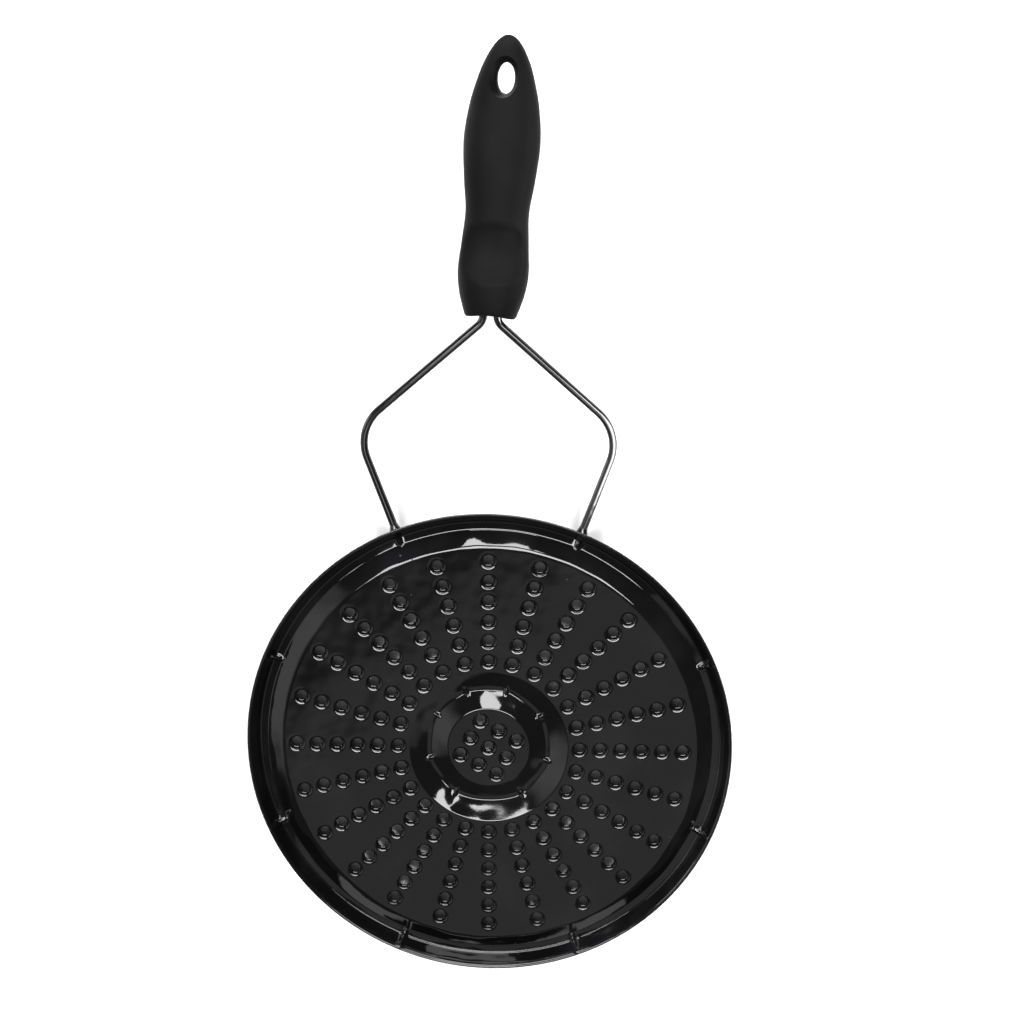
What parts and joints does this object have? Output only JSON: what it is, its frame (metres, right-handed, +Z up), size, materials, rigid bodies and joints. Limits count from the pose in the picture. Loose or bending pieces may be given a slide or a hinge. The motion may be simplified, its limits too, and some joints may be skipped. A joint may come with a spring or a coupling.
{
  "type": "stovetop heat diffuser plate",
  "caption": "Round shallow dish of dimpled, pierced black enamelled steel on a bent wire frame, with a moulded black grip that has a thumb recess and a hang hole.",
  "frame": {"origin": "on the plate's axis, at the height of the surface that the plate rests on", "axes": "+Y from the plate's axis to the grip, +Z up out of the dish, +X to the right seen from above with the grip away from the viewer"},
  "size_m": [0.21, 0.4011, 0.0227],
  "materials": {
    "enamel": "deep gloss black vitreous enamel on pressed steel, slightly wavy",
    "wire_enamel": "gloss black enamel on round steel wire",
    "grip_plastic": "finely textured matte black moulded plastic"
  },
  "bodies": {
    "root": {"plate": "enamel", "wire_left": "wire_enamel", "wire_right": "wire_enamel", "weld_left": "wire_enamel", "weld_right": "wire_enamel", "grip": "grip_plastic"}
  },
  "joints": []
}
